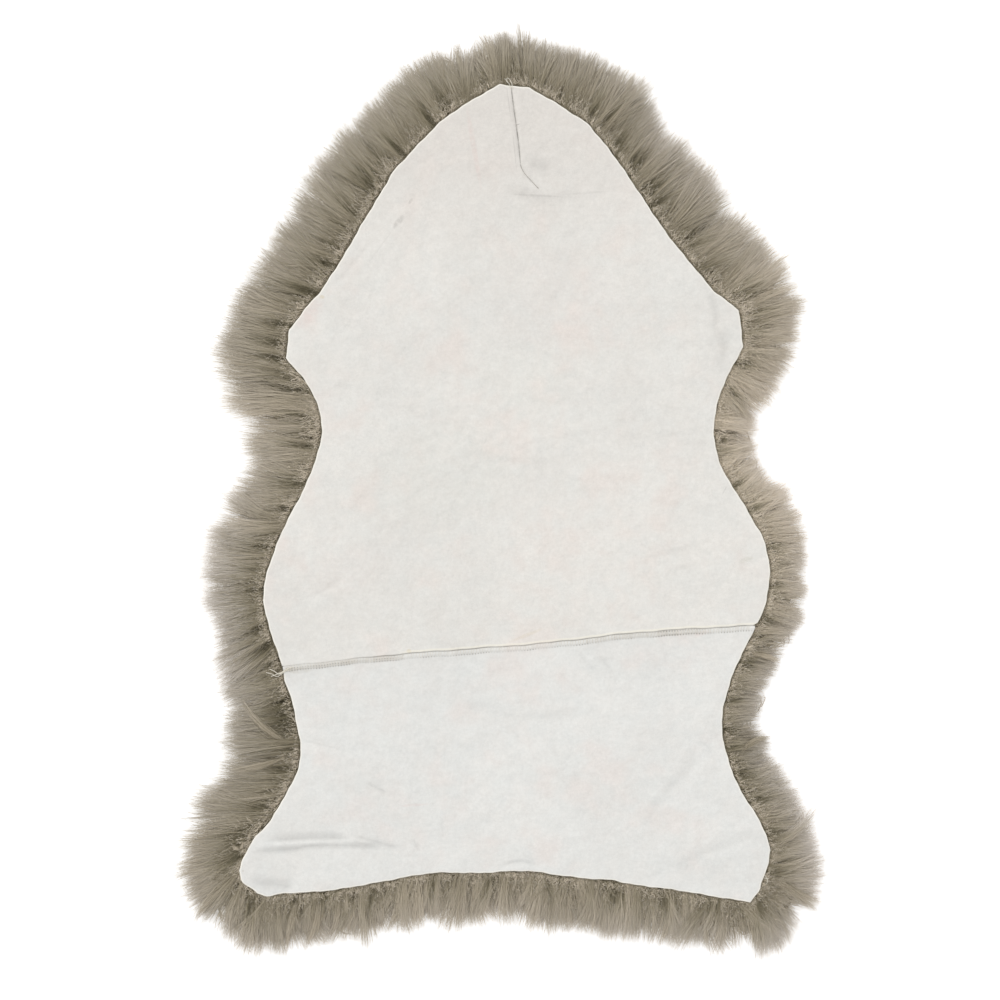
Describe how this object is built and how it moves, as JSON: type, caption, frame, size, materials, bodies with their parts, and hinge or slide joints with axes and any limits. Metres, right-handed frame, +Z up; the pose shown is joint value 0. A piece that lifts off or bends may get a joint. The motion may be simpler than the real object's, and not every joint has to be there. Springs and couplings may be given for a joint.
{
  "type": "sheepskin rug",
  "caption": "Flat sheepskin rug lying wool side down: white suede leather in two seamed panels, with long grey-brown wool standing out all round its wavy cut edge.",
  "frame": {"origin": "on the floor under the middle of the rug's footprint, wool included", "axes": "+Z up, from the wool to the leather; +Y along the rug from the tail end to the neck end; +X to the right as seen from above"},
  "size_m": [0.6386, 0.9223, 0.0318],
  "materials": {
    "leather_front": "matt suede flesh side of tanned skin, warm off-white with faint pink and grey blotches",
    "leather_rear": "matt suede flesh side of tanned skin, cooler white than the front panel",
    "wool": "long crimped sheep's wool in tufts, olive grey-brown near the skin and paler pinkish grey at the tips"
  },
  "bodies": {
    "root": {"skin_front": "leather_front", "skin_rear": "leather_rear", "fleece_front": "wool", "fleece_rear": "wool"}
  },
  "joints": []
}
